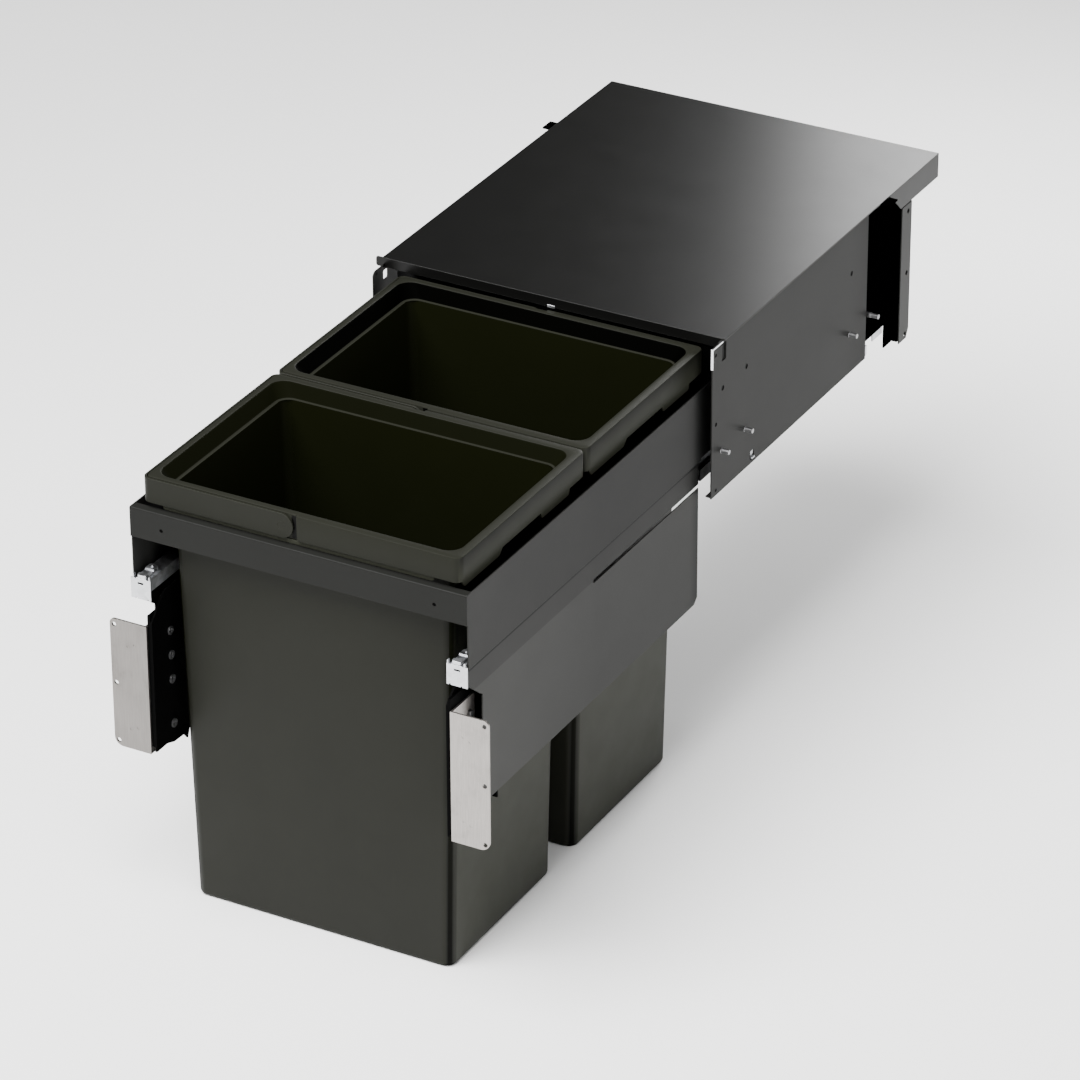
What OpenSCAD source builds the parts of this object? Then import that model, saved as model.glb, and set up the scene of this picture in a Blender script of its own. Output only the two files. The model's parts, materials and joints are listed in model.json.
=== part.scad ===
// Pull-out frame with two waste bins for a kitchen base cabinet.
// The origin lies at mid-width, on the front edge plane of the housing sides,
// level with their bottom edges. X points right, Y into the cabinet, Z up.
// The slider is drawn fully pulled out, towards -Y.

/* [Cabinet and housing] */
// Clear width inside the cabinet, which the cover fills
cabinet_w = 362; // [340:1:400]
// Height of the housing, from the bottom edge of its sides to the top of the cover
housing_h = 156.4; // [150:0.1:175]
// How far the housing sides stand in from the edges of the cover
side_inset = 1.5; // [0.5:0.1:3]
// Thickness of the housing and frame sheet
sheet_t = 1.2; // [1:0.1:1.5]
// Drop of the flange along the front edge of the cover
cover_lip = 10; // [6:0.5:10.5]
// How far the left end of the front flange stands out past the cover
ear_out = 7; // [3:0.5:10]
// Drop of the side and rear flanges of the cover at its back
rear_flange_h = 25.4; // [15:0.1:26]
// Length of the side flanges at the back of the cover
rear_flange_len = 110; // [70:1:110]
// Length of the cover behind the housing sides
side_to_back = 154; // [130:1:170]
// Length of the recess in the rear channels, front to back
channel_len = 75; // [50:1:80]
// Outer face of the channel floor, measured inwards from the side
channel_depth = 5.5; // [4:0.1:5.5]
// Width of the screw flange behind each rear channel
plate_w = 22; // [18:0.5:26]
// Height of the screw flange behind each rear channel
plate_h = 147; // [120:1:160]
// Distance between the holes in the screw flange
plate_pitch = 66.8; // [45:0.1:68]
// Diameter of the holes in the screw flange
plate_hole = 5; // [3.5:0.1:6]
// Diameter of the fixing pegs that reach into the cabinet sides
peg_d = 4.8; // [3.8:0.1:5.5]

/* [Pull-out frame] */
// Thickness of the bin carriers
carrier_t = 1.5; // [1:0.1:2]
// Gap between a housing side and the frame
frame_gap = 7.8; // [7.5:0.1:9]
// Distance from the top of the cover down to the top of the frame
top_gap = 42.4; // [41.5:0.1:46]
// Height of the front rail
front_rail_h = 29.5; // [20:0.5:36]
// Depth of the flanges of the front rail
front_rail_d = 9; // [6:0.5:10]
// Thickness of the front rail sheet
front_rail_t = 1.5; // [1:0.1:2]
// Height of the upper strip of a frame side, down to its joggle
strip_h = 73.5; // [72:0.1:78]
// Step inwards from the upper strip to the lower panel
joggle = 2.5; // [2:0.1:3.2]
// Full height of a frame side
panel_h = 224; // [200:1:260]
// Height of the slot in a frame side that passes the rail arm
slot_h = 4; // [3.6:0.1:5]
// Part of the frame that stays inside the housing when it is pulled out
held_len = 30; // [28:1:60]
// Setback of the front rail inside the housing when closed
front_set = 1.5; // [1:0.1:4]
// Distance from the frame to the back of the cover when closed
back_gap = 6.5; // [4:0.5:12]

/* [Bins] */
// Length of the rim of one bin, front to back
bin_len = 227; // [200:1:240]
// Height of one bin
bin_h = 437.2; // [300:0.1:480]
// Height of the rims above the top of the frame
rim_z = 30.4; // [29:0.1:31]
// Gap between the bin rims and the outer faces of the frame
rim_gap = 10; // [9.5:0.1:11]
// Distance between neighbouring rims
bin_gap = 2; // [1:0.1:5]
// Distance from the front rail to the first rim
first_gap = 6; // [5:0.5:18]
// Wall thickness of a bin
bin_t = 2.5; // [2:0.1:3]
// Thickness of the rim plate
rim_t = 2.4; // [2:0.1:3]
// Height of the rim skirt
skirt_h = 24.4; // [20:0.2:25]
// Depth of the smooth band inside the mouth, down to the ledge
band_h = 14.4; // [10:0.2:18]
// Radius of the rim corners
rim_r = 7.5; // [6:0.5:16]
// Radius of the body corners
body_r = 10.5; // [8:0.5:18]
// How much narrower the body is at the bottom, on each side
taper_x = 9.5; // [4:0.5:12]
// How much shorter the body is at the bottom, at each end
taper_y = 3.6; // [2:0.1:6]
// Thickness of the carrying handle strap
strap_t = 2; // [1.6:0.1:2.2]
// Height of the carrying handle strap
strap_h = 24; // [18:0.5:24]
// Diameter of the handle pivot
pivot_d = 7; // [5:0.1:9]

/* [Runners] */
// Width of the runner on each side
rail_w = 13.8; // [13.4:0.1:13.8]
// Thickness of the runner sheet
rail_t = 1.5; // [1.2:0.1:1.6]
// Distance from the top of the frame down to the top of the runner
rail_drop = 70.5; // [70.5:0.1:72]
// Height of the upper runner member
rail_h = 12.5; // [11:0.1:13]
// Height of the whole runner
runner_h = 29.8; // [29.2:0.1:31]
// Length of the middle runner member
middle_len = 400; // [380:1:410]
// Radius of the runner balls
ball_r = 1.5; // [1.2:0.05:1.5]
// Balls in each row of a cage
ball_count = 8; // [4:1:9]
// Distance between the balls of a row
ball_pitch = 22; // [6:1:22]

/* [Door brackets] */
// Thickness of the bracket web
web_t = 2; // [1.5:0.1:2.2]
// Thickness of the door plate
door_t = 2; // [1.5:0.1:2.5]
// Width of the door plate
door_w = 38.5; // [30:0.5:42]
// Height of the door plate
door_h = 131.5; // [100:0.5:140]
// Distance between the screw holes of the door plate
door_pitch = 60; // [40:1:62]
// Diameter of the screw holes of the door plate
door_hole = 4.5; // [3:0.1:6]
// Height adjustment of the door plate, up and down
door_play = 2.5; // [1:0.5:4]

/* [Hidden] */
$fn = 48;
e = 0.01;

// Half widths, from the cover inwards
cover_x = cabinet_w / 2;
side_x = cover_x - side_inset;
side_in = side_x - sheet_t;
frame_x = side_in - frame_gap;
strip_in = frame_x - sheet_t;
panel_x = frame_x - joggle;
panel_in = panel_x - sheet_t;
rim_x = frame_x - rim_gap;
rail_x = panel_in - rail_w / 2;
web_x = panel_in - rail_w - 1;

// Lengths and places along the pull-out
bin_pitch = bin_len + bin_gap;
bins_end = first_gap + 2 * bin_len + bin_gap;
rear_rail_d = 6;
rear_rail_z = top_gap - cover_lip - 0.6;
slider_len = bins_end + 4 + rear_rail_d;
travel = slider_len - held_len + 1;
panel_len = travel - 5;
slider_y = front_set - travel;
housing_d = front_set + slider_len + back_gap;
side_len = housing_d - side_to_back;
cover_y = slider_y + bins_end + 1.2;
slider_z = housing_h - top_gap;

// Rim levels, in the slider's own frame
skirt_z = rim_z - skirt_h;
ledge_z = rim_z - band_h;
bin_z = rim_z - bin_h;
mouth_x = rim_x - 17;
body_x = mouth_x;
mouth_y0 = 15;
mouth_y1 = bin_len - 15;
flare_x = 8;
flare_y = 5.6;
body_y0 = 18.3;
body_y1 = bin_len - 14;
recess = strap_t + 0.3;
side_recess = strap_t + 0.9;
pivot_x = -18;
pivot_z = rim_z - 1 - strap_h / 2;
pivot_fit = 0.05;
panel_start = -2;
lip_z = 1;
shelf_z = -10;

// Runner levels, in the slider's own frame
rail_top = -rail_drop;
ceiling_z = rail_top - rail_t;
floor_z = rail_top - runner_h + rail_t;
cab_rail_w = rail_w - 1.6;
cab_rail_h = 12.3;
open_z = floor_z - rail_t + cab_rail_h;
up_in = rail_w / 2 - rail_t;
low_in = cab_rail_w / 2 - rail_t;
ball_c = ball_r + 0.1;
rail_len = panel_len - 3;
cab_rail_y = 4.5;
cab_rail_len = travel + 2;
middle_y = (slider_y + 2 + rail_len + cab_rail_y) / 2;
lower_y = (cab_rail_y + middle_y + middle_len / 2) / 2;
upper_y = (slider_y + 2 + rail_len + middle_y - middle_len / 2) / 2;
cage_len = (ball_count - 1) * ball_pitch + 26;
arm_t = 1.6;
arm_z = floor_z - rail_t - arm_t;
arm_y = slider_y + travel + panel_len - 198;
slot_z = arm_z + arm_t / 2;
slot_len = panel_len - 235;

// Levels and places of the door brackets, in the slider's own frame
door_z = -116;
door_y = -5;
web_pad = 2.7;
door_x = web_x + web_pad + 0.3 + door_t;
screw_y = 26;
screw_zs = [-133, -158, -183, -229];
bracket_top = arm_z - 3;
door_hole_x = door_x - door_t + door_w - 4.5;
door_hole_top = -(door_h - 2 * door_pitch) / 2;

// Rear channels and their flanges
channel_x = side_x - channel_depth;
channel_y = side_len - 2;
web_y = channel_y + channel_len;
plate_z = housing_h - rear_flange_h - 1 - plate_h;
plate_hole_y = web_y + plate_w - 8;
plate_hole_z = plate_z + 5.5;
peg_z = 42;
peg_ys = [20.3, 68.3, side_len - 36];
peg_out = 8;
peg_hole = peg_d + 0.8;
hook_y = channel_y + 28;
hook_w = 16;
hook_z = housing_h - sheet_t;

// Colours
black = [0.17, 0.17, 0.16];
dark = [0.24, 0.24, 0.23];
plastic = [0.16, 0.16, 0.14];
zinc = [0.72, 0.73, 0.75];
nickel = [0.70, 0.68, 0.66];

// Rectangle with round corners, from one corner to the other
module round_rect(x0, y0, x1, y1, r) {
  translate([x0 + r, y0]) square([x1 - x0 - 2 * r, y1 - y0]);
  translate([x0, y0 + r]) square([x1 - x0, y1 - y0 - 2 * r]);
  for (x = [x0 + r, x1 - r], y = [y0 + r, y1 - r]) translate([x, y]) circle(r);
}

// Plate from an outline in Y and Z, from one X to another
module yz_plate(x0, x1) {
  translate([x0, 0, 0]) rotate([90, 0, 90]) linear_extrude(x1 - x0) children();
}

// Bar from an outline in X and Z, from one Y to another
module xz_bar(y0, y1) {
  translate([0, y1, 0]) rotate([90, 0, 0]) linear_extrude(y1 - y0) children();
}

// Box from its lowest to its highest corner
module box(x0, y0, z0, x1, y1, z1) {
  translate([x0, y0, z0]) cube([x1 - x0, y1 - y0, z1 - z0]);
}

// Hole or pin along X, from one X to another
module x_rod(x0, x1, y, z, d) {
  translate([x0, y, z]) rotate([0, 90, 0]) cylinder(d = d, h = x1 - x0);
}

// Hole or pin along Y, from one Y to another
module y_rod(y0, y1, x, z, d) {
  translate([x, y0, z]) rotate([-90, 0, 0]) cylinder(d = d, h = y1 - y0);
}

// The slider's own frame: X and Y from the front rail's face, Z from its top
module on_slider() {
  translate([0, slider_y, slider_z]) children();
}

module left() {
  mirror([1, 0, 0]) children();
}

module top_cover() {
  plate_z0 = housing_h - sheet_t;
  color(black) {
    box(-cover_x, cover_y, plate_z0, cover_x, housing_d, housing_h);
    xz_bar(cover_y, cover_y + sheet_t) difference() {
      union() {
        round_rect(-cover_x - ear_out, housing_h - cover_lip, 0, housing_h, 2.5);
        translate([-20, housing_h - cover_lip]) square([18.7 + side_in, cover_lip]);
      }
      translate([-4, housing_h - cover_lip - e]) square([8, 0.6]);
    }
    box(-cover_x, housing_d - sheet_t, housing_h - rear_flange_h, cover_x, housing_d, plate_z0 + e);
    for (s = [-1, 1]) {
      x = s > 0 ? cover_x - sheet_t : -cover_x;
      yz_plate(x, x + sheet_t) polygon([
        [housing_d - rear_flange_len, plate_z0 + e],
        [housing_d - rear_flange_len + 26, housing_h - rear_flange_h],
        [housing_d, housing_h - rear_flange_h],
        [housing_d, plate_z0 + e]]);
    }
  }
}

module cover_stiffener() {
  top = housing_h - sheet_t;
  y = (cover_y + side_len) / 2;
  x = frame_x - 8;
  color(dark) yz_plate(-x, x) polygon([
    [y - 16, top], [y - 16, top - 1], [y - 9, top - 1], [y - 7, top - 6], [y + 7, top - 6],
    [y + 9, top - 1], [y + 16, top - 1], [y + 16, top], [y + 8.2, top], [y + 6.2, top - 5],
    [y - 6.2, top - 5], [y - 8.2, top]]);
}

module cover_clip() {
  low = housing_h - cover_lip;
  color(zinc) difference() {
    box(-4, cover_y - 0.7, low - 0.4, 4, cover_y + sheet_t + 0.7, low + 2.4);
    box(-5, cover_y, low + 0.59, 5, cover_y + sheet_t, low + 3);
  }
}

module edge_clip() {
  top = housing_h - sheet_t - 0.2;
  color([0.92, 0.92, 0.93]) {
    box(side_x, -0.6, top - 1.3, side_x + 0.4, 20, top);
    box(side_x, -0.6, top - 21, side_x + 0.4, 0.6, top - 1.3 + e);
    box(side_in - 0.4, -0.6, top - 21, side_x + e, 0, top);
    box(side_in - 0.4, -e, top - 21, side_in, 2, top - 1);
  }
}

// Side sheet. In front of the cover it is either full height, with a doubler behind its slot,
// or a lower tab with a round corner and a slit for the cover's front flange.
module housing_side(full_front) {
  top = housing_h - sheet_t;
  tab_top = housing_h - 6.4;
  slit_z = housing_h - cover_lip - 0.2;
  flange_y = full_front ? 0 : cover_y + sheet_t + 0.2;
  color(black) {
    difference() {
      yz_plate(side_in, side_x) union() {
        translate([flange_y, 0]) square([side_len - flange_y, top]);
        square([cover_y, tab_top - 6]);
        translate([6, 0]) square([cover_y - 6.2, tab_top]);
        translate([6, tab_top - 6]) circle(6);
        square([side_len, slit_z]);
      }
      yz_plate(side_in - 1, side_x + 1) {
        round_rect(cover_y - 3.2, 134.6, cover_y + 5.3, full_front ? 153 : slit_z - 2, 2);
        round_rect(80, 3, 87, 13, 1);
      }
      // Round weld marks
      for (p = [[6.2, 146.3, 3.4], [8, 74.5, 4], [9.2, 5.5, 3.4], [21, 106.6, 5],
                [69.1, 107.3, 5], [side_len - 35.2, 106.8, 5]])
        x_rod(side_x - 0.7, side_x + 1, p[0], p[1], p[2]);
      for (y = peg_ys) x_rod(side_in - 1, side_x + 1, y, peg_z, peg_hole);
    }
    box(frame_x + 0.1, cover_y + sheet_t + 0.2, top - sheet_t, side_in + e, side_len, top);
    box(frame_x + 2, 2, 0, side_in + e, side_len - 30, sheet_t);
    if (full_front) box(side_in - 1.2, cover_y - 6.7, 131, side_in + e, cover_y + 9, top);
  }
}

module housing_side_left() left() housing_side(false);
module housing_side_right() housing_side(true);

module rear_channel() {
  z1 = housing_h - 2 * sheet_t - 0.3;
  z0 = plate_z + 3;
  x_in = channel_x - 1.5;
  x_plate = cover_x - sheet_t;
  color([0.1, 0.1, 0.1]) difference() {
    translate([0, 0, z0]) linear_extrude(z1 - z0) union() {
      translate([x_in, channel_y]) square([1.5, channel_len]);
      translate([x_in, channel_y]) square([side_in - x_in, 1.5]);
      translate([side_in - 1.5, channel_y - 24]) square([1.5, 25]);
      translate([x_in, web_y - 1.5]) square([x_plate - x_in, 1.5]);
      translate([x_plate - 1.2, web_y - 1]) square([1.2, plate_w - 1]);
    }
    box(x_plate - 2, web_y + e, plate_z + plate_h, x_plate + 1, web_y + plate_w, z1 + 1);
    box(x_in - 1, channel_y - 30, z0 - 1, side_in + 1, web_y - 19, 12);
    x_rod(x_in - 1, channel_x + 1, channel_y + 13.4, peg_z, peg_hole);
    for (k = [0:2]) x_rod(x_plate - 3, x_plate + 1, plate_hole_y, plate_hole_z + k * plate_pitch,
                          plate_hole + 1.5);
  }
  // Hook that stands up beside the cover and turns outwards
  color([0.1, 0.1, 0.1]) {
    box(x_in, hook_y, z1 - e, channel_x, hook_y + hook_w, hook_z);
    box(x_in, hook_y, hook_z - 1.5, cover_x + 9, hook_y + hook_w, hook_z);
  }
}

module rear_channel_left() left() rear_channel();
module rear_channel_right() rear_channel();

module mount_plate() {
  x0 = cover_x - sheet_t;
  color(dark) difference() {
    yz_plate(x0, cover_x) polygon([
      [web_y + 0.5, plate_z], [web_y + plate_w - 5, plate_z], [web_y + plate_w, plate_z + 9],
      [web_y + plate_w, plate_z + plate_h], [web_y + 0.5, plate_z + plate_h]]);
    for (k = [0:2]) x_rod(x0 - 1, cover_x + 1, plate_hole_y, plate_hole_z + k * plate_pitch, plate_hole);
  }
}

module mount_plate_left() left() mount_plate();
module mount_plate_right() mount_plate();

// Riveted peg with its flat head inside and its thinner end towards the cabinet side
module cabinet_peg(x_head, y) {
  x_rod(x_head - 1.3, x_head, y, peg_z, peg_d + 4.2);
  x_rod(x_head - e, side_x, y, peg_z, peg_d + 0.6);
  x_rod(side_x - e, side_x + peg_out, y, peg_z, peg_d);
}

module cabinet_pegs() {
  color(zinc) for (s = [0, 1]) mirror([s, 0, 0]) {
    for (y = peg_ys) cabinet_peg(side_in - 1.5, y);
    cabinet_peg(channel_x - 1.5, channel_y + 13.4);
  }
}

module cabinet_rail() {
  z = slider_z;
  y1 = cab_rail_y + cab_rail_len;
  half = cab_rail_w / 2;
  leg_end = channel_y - 26;
  color(zinc) difference() {
    union() {
      xz_bar(cab_rail_y, y1) difference() {
        translate([rail_x - half, floor_z - rail_t + z]) square([cab_rail_w, cab_rail_h]);
        translate([rail_x - low_in, floor_z + z]) square([2 * low_in, cab_rail_h]);
      }
      box(rail_x - half, arm_y, arm_z + z, channel_x - 1.5, web_y - 4, arm_z + arm_t + z);
      box(channel_x - 3, channel_y + 2, arm_z + z, channel_x - 1.5, web_y - 4, peg_z - 6);
      // Hook and lug that show below the rear channel
      box(channel_x - 3, web_y - 42, 3, channel_x - 1.5, web_y - 21, arm_z + z + e);
      box(channel_x - 3, channel_y + 4, 9.5, channel_x - 1.5, channel_y + 9, arm_z + z + e);
      box(channel_x - 3, channel_y + 4, 9.5, side_in - 0.5, channel_y + 9, 11);
      box(side_in - 2, channel_y + 4, 0, side_in - 0.5, channel_y + 9, 11);
      box(rail_x, arm_y, arm_z + z, side_in, leg_end, arm_z + arm_t + z);
      box(side_in - 1.5, cab_rail_y, arm_z + z, side_in, leg_end, peg_z + 12);
      box(side_in - 1.5, 80.5, 5, side_in, 86.5, arm_z + z + e);
      box(side_in - e, 80.5, 5, side_x + 1.4, 86.5, 6.5);
    }
    for (y = peg_ys) x_rod(side_in - 2, side_in + 1, y, peg_z, peg_hole);
  }
}

module cabinet_rail_left() left() cabinet_rail();
module cabinet_rail_right() cabinet_rail();

module front_rail() {
  t = front_rail_t;
  color(dark) on_slider() difference() {
    yz_plate(-frame_x, frame_x) difference() {
      union() {
        translate([0, -front_rail_h]) square([front_rail_d, front_rail_h - 1.5]);
        translate([1.5, -1.5]) circle(1.5);
        translate([1.5, -2]) square([front_rail_d - 1.5, 2]);
      }
      translate([t, t - front_rail_h]) square([front_rail_d, front_rail_h - 2 * t]);
    }
    for (s = [-1, 1]) {
      y_rod(-1, t + 1, s * (frame_x - 32.5), -16.6, 3.6);
      x = s > 0 ? strip_in - 0.2 : -frame_x - 1;
      box(x, t + 0.1, -front_rail_h - 1, x + sheet_t + 1.2, front_rail_d + 1, 1);
    }
  }
}

module front_rail_rivets() {
  color([0.1, 0.1, 0.1]) on_slider() for (s = [-1, 1]) {
    y_rod(0.5, front_rail_t + sheet_t + 0.1 + e, s * (frame_x - 32.5), -16.6, 3.5);
    y_rod(front_rail_t + sheet_t + 0.1, front_rail_t + sheet_t + 1.4, s * (frame_x - 32.5), -16.6, 6);
  }
}

// Outline of a frame side, seen from the right
module side_outline(len) {
  polygon([
    [front_rail_t + 0.1, 0], [len, 0], [len, -strip_h + 2], [panel_len, -strip_h + 2],
    [panel_len, 6 - panel_h], [panel_len - 6, -panel_h], [30, -panel_h], [30, -112.5],
    [26, -110], [6, -93.5], [front_rail_t + 0.1, -91]]);
}

module frame_side() {
  t = sheet_t;
  color(black) on_slider() difference() {
    union() {
      intersection() {
        xz_bar(-10, slider_len + 10) polygon([
          [frame_x, 0], [frame_x, -strip_h], [panel_x, -strip_h - 1], [panel_x, -panel_h],
          [panel_in, -panel_h], [panel_in, -strip_h - 0.4], [strip_in, -strip_h + 0.6], [strip_in, 0]]);
        yz_plate(panel_in - 1, frame_x + 1) side_outline(slider_len);
      }
      box(frame_x - 41, front_rail_t + 0.1, 3 - front_rail_h, strip_in + e, front_rail_t + 0.1 + t, -2.5);
    }
    yz_plate(panel_in - 1, frame_x + 1) {
      translate([235, slot_z - slot_h / 2]) square([slot_len + 9, slot_h]);
      translate([235, slot_z]) circle(d = slot_h);
    }
    y_rod(0, 5, frame_x - 32.5, -16.6, 3.6);
  }
}

module frame_side_left() left() frame_side();
module frame_side_right() frame_side();

module rear_rail() {
  y = slider_len - rear_rail_d;
  color(black) on_slider() difference() {
    box(-strip_in, y, -58, strip_in, slider_len, rear_rail_z);
    box(-strip_in - 1, y - 1, sheet_t - 58, strip_in + 1, slider_len - sheet_t, rear_rail_z - sheet_t);
  }
}

module bin_carrier() {
  leg = body_x + 0.5;
  seat = ledge_z - bin_t;
  t = carrier_t;
  color(black) on_slider() {
    xz_bar(front_rail_d + 0.1, slider_len - rear_rail_d - 0.5) polygon([
      [leg, shelf_z], [leg, shelf_z - t], [strip_in - t, shelf_z - t], [strip_in - t, shelf_z - 20],
      [strip_in, shelf_z - 20], [strip_in, shelf_z]]);
    for (k = [0, 1]) yz_plate(leg, leg + t) translate([first_gap + k * bin_pitch, 0]) polygon([
      [36, shelf_z - e], [bin_len - 38, shelf_z - e], [bin_len - 42, seat], [40, seat]]);
  }
}

module bin_carrier_left() left() bin_carrier();
module bin_carrier_right() bin_carrier();

module drawer_rail() {
  color(zinc) on_slider() xz_bar(2, 2 + rail_len) difference() {
    translate([rail_x - rail_w / 2, rail_top - rail_h]) square([rail_w, rail_h]);
    translate([rail_x - up_in, rail_top - rail_h - 1]) square([2 * up_in, rail_h + 1 - rail_t]);
  }
}

module drawer_rail_left() left() drawer_rail();
module drawer_rail_right() drawer_rail();

module runner_front() {
  ear_x = 8.8;
  color(zinc) on_slider() {
    difference() {
      union() {
        box(rail_x - 9.4, -2, rail_top - 20, rail_x + 11.1, -0.8, rail_top + 0.5);
        box(rail_x - 5, -1, ceiling_z - 1.4, rail_x + 5, 14, ceiling_z);
        box(rail_x - 5.2, -2, rail_top, rail_x + 5.2, 22, rail_top + 1.2);
        for (x = [rail_x - ear_x, rail_x + ear_x - 1.2])
          box(x, -2, rail_top, x + 1.2, 1.2, rail_top + 4.2);
        box(rail_x - ear_x, -2, rail_top - 0.5, rail_x + ear_x, 1.2, rail_top + 0.5);
      }
      box(rail_x - 2, -3, rail_top - 5.2, rail_x + 4, 0, rail_top - 3.2);
      for (x = [rail_x - 7, rail_x + 4.5]) box(x, -3, rail_top - 21, x + 1.6, 0, rail_top - 18.8);
    }
    translate([rail_x, 17, rail_top + 1]) cylinder(d = 3, h = 4.6);
  }
}

module runner_front_left() left() runner_front();
module runner_front_right() runner_front();

module release_lever() {
  color(zinc) on_slider() translate([rail_x, 0, rail_top + 1.5]) difference() {
    linear_extrude(3) round_rect(-4.6, -2, 4.6, 21, 2.2);
    translate([0, 17, -1]) cylinder(d = 3.1, h = 6);
    translate([-6, 3, 1.6]) cube([12, 9, 2]);
  }
}

module release_lever_left() left() release_lever();
module release_lever_right() release_lever();

// Sheet bracket that is welded to the frame side and carries the door plate
module door_bracket() {
  x0 = web_x - web_t;
  color([0.08, 0.08, 0.08]) on_slider() difference() {
    union() {
      yz_plate(x0, web_x) polygon([
        [-3, -112], [20, -89], [58, -89], [58, -232], [49, -257], [43, -250],
        [26, -249], [14.5, -245], [-3, -245]]);
      box(web_x - e, -3, -240, web_x + web_pad, 50, bracket_top);
      box(x0, 56, -232, panel_in, 58, bracket_top);
      box(panel_in - web_t, 56, -215, panel_in, 88, bracket_top);
    }
    for (z = screw_zs) x_rod(x0 - 1, web_x + web_pad + 1, screw_y, z, 4.4);
  }
}

module door_bracket_left() left() door_bracket();
module door_bracket_right() door_bracket();

module door_bracket_screws() {
  x0 = web_x - web_t;
  color(zinc) on_slider() for (s = [0, 1], z = screw_zs) mirror([s, 0, 0]) difference() {
    union() {
      x_rod(x0 - 1.6, x0, screw_y, z, 8.5);
      x_rod(x0 - e, door_x + 0.6, screw_y, z, 4);
      x_rod(door_x + 0.3, door_x + 2.6, screw_y, z, 7);
    }
    box(x0 - 2, screw_y - 2.4, z - 0.5, x0 - 0.8, screw_y + 2.4, z + 0.5);
    box(x0 - 2, screw_y - 0.5, z - 2.4, x0 - 0.8, screw_y + 0.5, z + 2.4);
  }
}

module door_plate() {
  x0 = door_x - door_t;
  x1 = x0 + door_w;
  z0 = door_z - door_h;
  color(nickel) on_slider() difference() {
    union() {
      xz_bar(door_y, door_y + door_t) difference() {
        union() {
          translate([x0, z0]) square([door_w / 2, door_h]);
          round_rect(x0, z0 + 9, x1, door_z, 5);
          round_rect(x0, z0, x1, z0 + 40, 9);
        }
        for (k = [0:2]) translate([door_hole_x, door_z + door_hole_top - k * door_pitch])
          circle(d = door_hole);
      }
      box(x0, door_y, z0, door_x, screw_y + 9, door_z);
    }
    for (z = screw_zs) yz_plate(x0 - 1, door_x + 1)
      round_rect(screw_y - 2.3, z - 2.3 - door_play, screw_y + 2.3, z + 2.3 + door_play, 2.29);
    for (p = [[13, -22], [20, -25], [13, door_z - z0 - 24], [20, door_z - z0 - 21]])
      y_rod(door_y - 1, door_y + 0.3, x0 + p[0], p[1] < 0 ? door_z + p[1] : door_z - p[1], 3);
  }
}

module door_plate_left() left() door_plate();
module door_plate_right() door_plate();

// Right half of the middle member's section, from its foot to its head
function half_section() = let (
  kl = low_in - ball_c, ku = up_in - ball_c, s = 1.4142 * ball_c)
  [[kl + 1.2 - ball_c - s, floor_z + 1.2],
   [low_in - 0.6, floor_z + ball_c + (ball_c - 0.6) + s],
   [low_in - 0.6, open_z - 1], [2.2, open_z],
   [2.2, rail_top - rail_h + 0.5], [up_in - 0.6, rail_top - rail_h + 1.5],
   [up_in - 0.6, ceiling_z - ball_c - (ball_c - 0.6) - s],
   [ku + 1.2 - ball_c - s, ceiling_z - 1.2]];

module middle_runner() {
  h = half_section();
  n = len(h);
  color(zinc) translate([rail_x, middle_y, slider_z]) xz_bar(-middle_len / 2, middle_len / 2)
    polygon([for (p = h) p, for (i = [n - 1:-1:0]) [-h[i][0], h[i][1]]]);
}

module middle_runner_left() left() middle_runner();
module middle_runner_right() middle_runner();

// Strip that keeps the balls apart, open towards the runner walls
module cage(x_in, z, y) {
  c = x_in - ball_c;
  translate([rail_x, y, z]) difference() {
    translate([0.7 - x_in, -cage_len / 2, 0]) cube([2 * (x_in - 0.7), cage_len, 0.6]);
    for (k = [0:ball_count - 1], s = [-1, 1])
      translate([s * c, (k - (ball_count - 1) / 2) * ball_pitch, -1]) cylinder(r = ball_r + 0.05, h = 3);
  }
}

module balls(x_in, z, y) {
  for (k = [0:ball_count - 1], s = [-1, 1])
    translate([rail_x + s * (x_in - ball_c), y + (k - (ball_count - 1) / 2) * ball_pitch, z])
      sphere(ball_r, $fn = 24);
}

module lower_cage() color(plastic) cage(low_in, slider_z + floor_z + 0.35, lower_y);
module upper_cage() color(plastic) cage(up_in, slider_z + ceiling_z - 0.95, upper_y);
module lower_balls() color(zinc) balls(low_in, slider_z + floor_z + ball_c, lower_y);
module upper_balls() color(zinc) balls(up_in, slider_z + ceiling_z - ball_c, upper_y);
module lower_cage_left() left() lower_cage();
module lower_cage_right() lower_cage();
module upper_cage_left() left() upper_cage();
module upper_cage_right() upper_cage();
module lower_balls_left() left() lower_balls();
module lower_balls_right() lower_balls();
module upper_balls_left() left() upper_balls();
module upper_balls_right() upper_balls();

// Outline of the rim where the strap lies beside it
module recessed_rim(inset) {
  round_rect(-rim_x + side_recess + inset, recess + inset, rim_x - inset, bin_len - recess - inset,
             rim_r - recess);
}

// Outline of the rim to the right of the handle ends
module full_rim(inset) {
  intersection() {
    round_rect(-rim_x + inset, inset, rim_x - inset, bin_len - inset, rim_r);
    translate([panel_start, -1]) square([rim_x, bin_len + 2]);
  }
}

// Thin slice of the flared mouth: open is 0 at the ledge and 1 at the rim
module mouth_slab(z, open, grow) {
  x = mouth_x + open * flare_x + grow;
  y = open * flare_y + grow;
  translate([0, 0, z]) linear_extrude(0.1)
    round_rect(-x, mouth_y0 - y, x, mouth_y1 + y, 14, $fn = 32);
}

module body_slab(z, in_x, in_y, wall) {
  translate([0, 0, z]) linear_extrude(0.1)
    round_rect(-body_x + in_x + wall, body_y0 + in_y + wall, body_x - in_x - wall,
               body_y1 - in_y - wall, body_r - wall, $fn = 32);
}

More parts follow.
